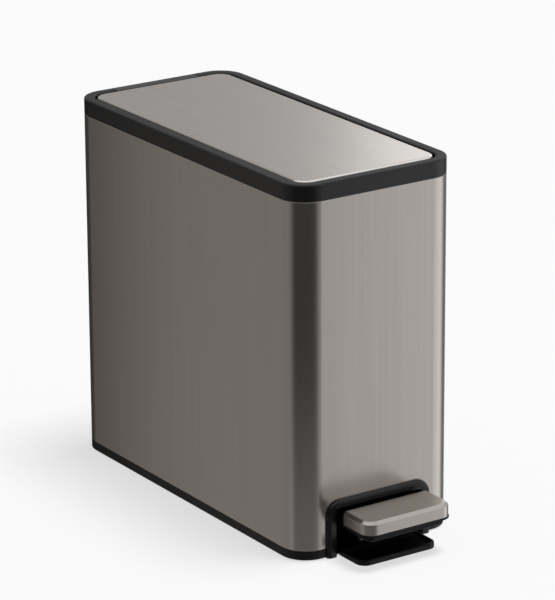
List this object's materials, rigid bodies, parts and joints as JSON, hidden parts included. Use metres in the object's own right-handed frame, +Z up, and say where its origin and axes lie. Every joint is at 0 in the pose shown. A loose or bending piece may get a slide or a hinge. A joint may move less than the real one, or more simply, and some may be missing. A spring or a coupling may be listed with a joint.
{
  "type": "slim step bin",
  "caption": "Slim rectangular kitchen bin: satin steel sleeve, black collar and base, flush hinged lid raised by a front pedal through a lever and push rod, lift-out bucket.",
  "frame": {"origin": "on the floor, at the centre of the whole footprint with the pedal", "axes": "+Z up; -Y towards the pedal, +Y towards the lid's hinge; +X to the right when facing the hinge from the pedal"},
  "size_m": [0.165, 0.4054, 0.335],
  "materials": {
    "satin_steel": "satin warm grey stainless sheet, grain along the sides",
    "black_plastic": "fine matte black moulding",
    "satin_black_plastic": "satin to glossy black moulding",
    "grey_plastic": "dark grey moulding",
    "bucket_plastic": "dark grey polypropylene",
    "damper_plastic": "smooth black acetal",
    "white_acetal": "natural acetal",
    "zinc_steel": "zinc plated steel",
    "bright_pin_steel": "bright drawn steel",
    "spring_steel": "dark spring steel",
    "screw_steel": "zinc plated",
    "black_rubber": "matte black rubber"
  },
  "bodies": {
    "root": {"body_shell": "satin_steel", "collar": "black_plastic", "base_tray": "black_plastic", "pedal_bezel": "satin_black_plastic", "foot_plate": "black_plastic", "foot_plate_screws": "screw_steel", "rubber_feet": "black_rubber", "pedal_axle": "bright_pin_steel", "axle_clips": "spring_steel", "lever_rest_pad": "black_rubber", "rod_channel": "grey_plastic", "channel_screws": "screw_steel", "damper_tube": "damper_plastic", "damper_caps": "damper_plastic", "hinge_pins": "bright_pin_steel", "lid_rest_pads": "black_rubber"},
    "lid": {"lid_panel": "satin_steel", "lid_frame": "black_plastic"},
    "pedal": {"pedal_cap": "satin_steel", "pedal_core": "black_plastic", "pedal_lever": "zinc_steel", "pedal_screws": "screw_steel", "pivot_bushes": "white_acetal"},
    "push_rod": {"push_rod": "zinc_steel", "rod_shoe": "white_acetal", "cross_pin": "bright_pin_steel", "cross_pin_clips": "spring_steel", "damper_piston": "white_acetal"},
    "bucket": {"inner_bucket": "bucket_plastic"}
  },
  "joints": [
    {"name": "lid_hinge", "type": "hinge", "parent": "root", "child": "lid", "pos_m": [0, 0.19755, 0.3295], "axis": [-1, 0, 0], "range_deg": [0, 77]},
    {"name": "pedal_hinge", "type": "hinge", "parent": "root", "child": "pedal", "pos_m": [0, -0.05401, 0.026], "axis": [1, 0, 0], "range_deg": [0, 7.02]},
    {"name": "rod_slide", "type": "slide", "parent": "root", "child": "push_rod", "axis": [0, 0, 1], "range_m": [0, 0.02864]},
    {"name": "bucket_lift", "type": "slide", "parent": "root", "child": "bucket", "axis": [0, 0, 1], "range_m": [0, 0.0015]}
  ],
  "couplings": [
    {"joint": "pedal_hinge", "follows": "lid_hinge", "ratio": 0.091115},
    {"joint": "rod_slide", "follows": "lid_hinge", "m_per_rad": 0.021307}
  ]
}
